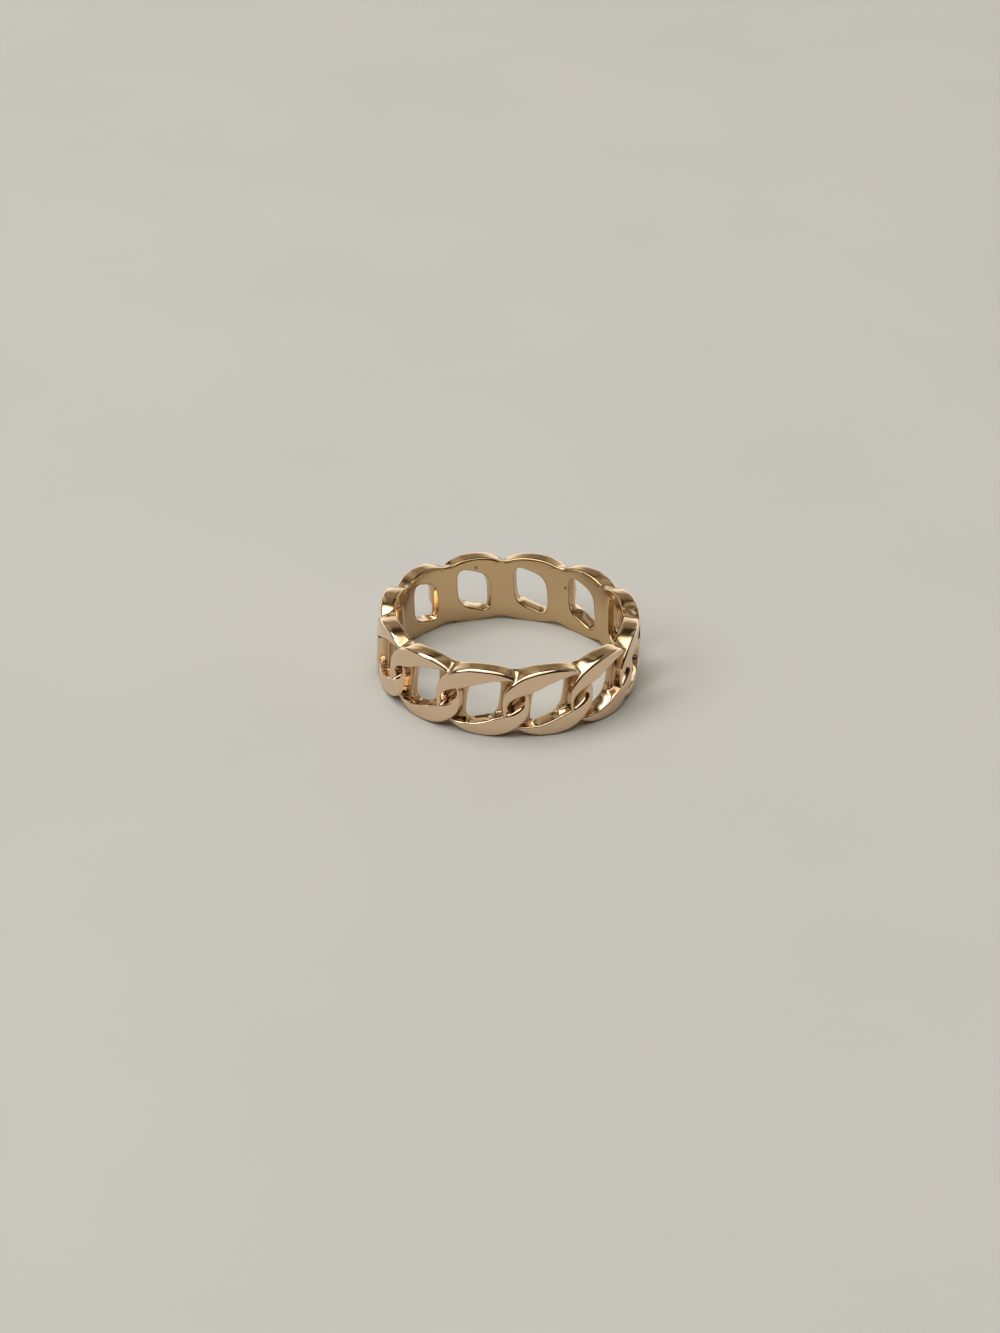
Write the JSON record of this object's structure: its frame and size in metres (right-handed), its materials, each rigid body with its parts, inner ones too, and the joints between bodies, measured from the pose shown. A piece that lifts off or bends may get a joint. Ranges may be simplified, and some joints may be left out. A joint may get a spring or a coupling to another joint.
{
  "type": "chain link ring",
  "caption": "Rigid finger ring cast in one piece as an endless band of interlocked, leaning curb links, with windows through the middle of each link.",
  "frame": {"origin": "centre of the finger hole, halfway up the band", "axes": "+Z along the finger hole, up when the ring lies on its side; +X through a crossing of two links"},
  "size_m": [0.0202, 0.0202, 0.0054],
  "materials": {
    "gold": "polished pale gold plating over cast brass"
  },
  "bodies": {
    "root": {"link_band": "gold"}
  },
  "joints": []
}
